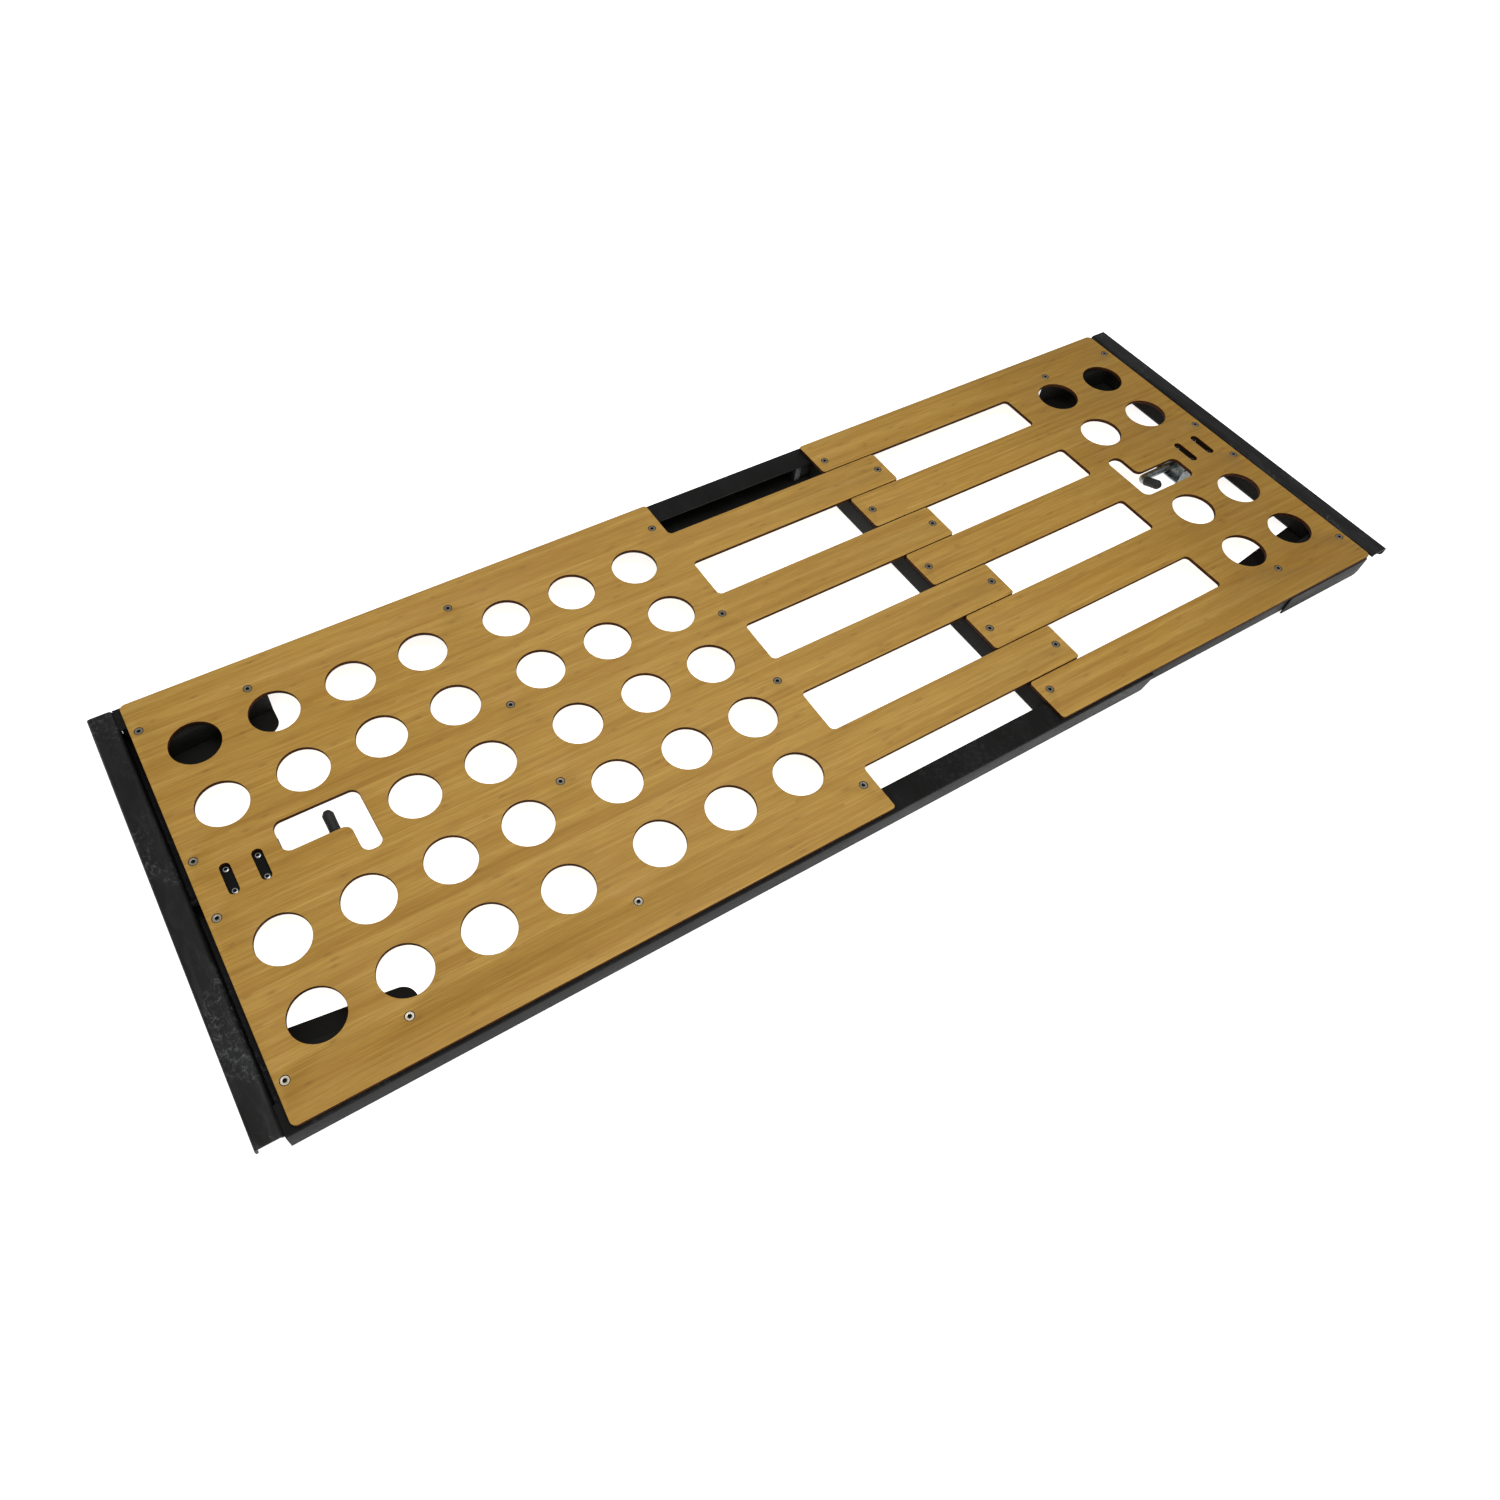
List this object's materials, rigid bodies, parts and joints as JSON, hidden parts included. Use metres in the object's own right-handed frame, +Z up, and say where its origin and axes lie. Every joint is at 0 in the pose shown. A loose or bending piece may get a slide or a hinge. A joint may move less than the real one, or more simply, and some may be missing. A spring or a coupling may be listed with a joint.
{
  "type": "extending slatted deck panel",
  "caption": "Extending bamboo deck panel: two interlocking comb-ended boards on a telescoping black steel frame, with a hanging flange and a spring bolt at each end.",
  "frame": {"origin": "middle of the footprint, on the underside of the outer rails, panel drawn extended", "axes": "+X along the length from the fixed half to the sliding half, +Y across to the back, +Z up out of the deck"},
  "size_m": [2.0776, 0.7224, 0.0448],
  "materials": {
    "bamboo": "satin oiled bamboo plywood with scorched cut edges",
    "black_steel": "fine-texture black powder coat",
    "zinc": "bright zinc plate",
    "spring_steel": "drawn spring wire",
    "screw_steel": "stainless screw",
    "vinyl": "dipped black vinyl",
    "nylon": "moulded nylon"
  },
  "bodies": {
    "fixed_half": {"left_deck": "bamboo", "back_rail": "black_steel", "front_rail": "black_steel", "mid_crossbar": "black_steel", "root_crossbar": "black_steel", "left_tip_crossbar": "black_steel", "left_end_bracket": "black_steel", "left_end_beam": "black_steel", "left_back_corner_brace": "black_steel", "left_front_corner_brace": "black_steel", "left_latch_plate": "black_steel", "left_latch_housing": "zinc", "left_latch_spring": "spring_steel", "left_end_screw_1": "screw_steel", "left_end_screw_2": "screw_steel", "left_end_screw_3": "screw_steel", "left_end_screw_4": "screw_steel", "left_brace_screw_1": "screw_steel", "left_brace_screw_2": "screw_steel", "mid_bar_screw_1": "screw_steel", "mid_bar_screw_2": "screw_steel", "mid_bar_screw_3": "screw_steel", "mid_bar_screw_4": "screw_steel", "root_bar_screw_1": "screw_steel", "root_bar_screw_2": "screw_steel", "root_bar_screw_3": "screw_steel", "root_bar_screw_4": "screw_steel", "left_tip_screw_1": "screw_steel", "left_tip_screw_2": "screw_steel", "left_tip_screw_3": "screw_steel", "left_tip_screw_4": "screw_steel"},
    "sliding_half": {"right_deck": "bamboo", "back_inner_rail": "black_steel", "front_inner_rail": "black_steel", "right_tip_crossbar": "black_steel", "back_glide_shoe": "nylon", "front_glide_shoe": "nylon", "right_end_bracket": "black_steel", "right_end_beam": "black_steel", "right_back_corner_brace": "black_steel", "right_front_corner_brace": "black_steel", "right_latch_plate": "black_steel", "right_latch_housing": "zinc", "right_latch_spring": "spring_steel", "right_tip_screw_1": "screw_steel", "right_tip_screw_2": "screw_steel", "right_tip_screw_3": "screw_steel", "right_tip_screw_4": "screw_steel", "right_tip_screw_5": "screw_steel", "right_brace_screw_1": "screw_steel", "right_brace_screw_2": "screw_steel", "right_end_screw_1": "screw_steel", "right_end_screw_2": "screw_steel", "right_end_screw_3": "screw_steel", "right_end_screw_4": "screw_steel"},
    "left_latch": {"left_latch_pin": "zinc", "left_latch_grip": "vinyl"},
    "right_latch": {"right_latch_pin": "zinc", "right_latch_grip": "vinyl"}
  },
  "joints": [
    {"name": "panel_slide", "type": "slide", "parent": "fixed_half", "child": "sliding_half", "axis": [1, 0, 0], "range_m": [-0.325, 0.03]},
    {"name": "left_latch_slide", "type": "slide", "parent": "fixed_half", "child": "left_latch", "axis": [1, 0, 0], "range_m": [0, 0.018], "stiffness_N_per_m": 1500, "springref_m": -0.012, "deforming": ["left_latch_spring"]},
    {"name": "right_latch_slide", "type": "slide", "parent": "sliding_half", "child": "right_latch", "axis": [-1, 0, 0], "range_m": [0, 0.018], "stiffness_N_per_m": 1500, "springref_m": -0.012, "deforming": ["right_latch_spring"]}
  ]
}
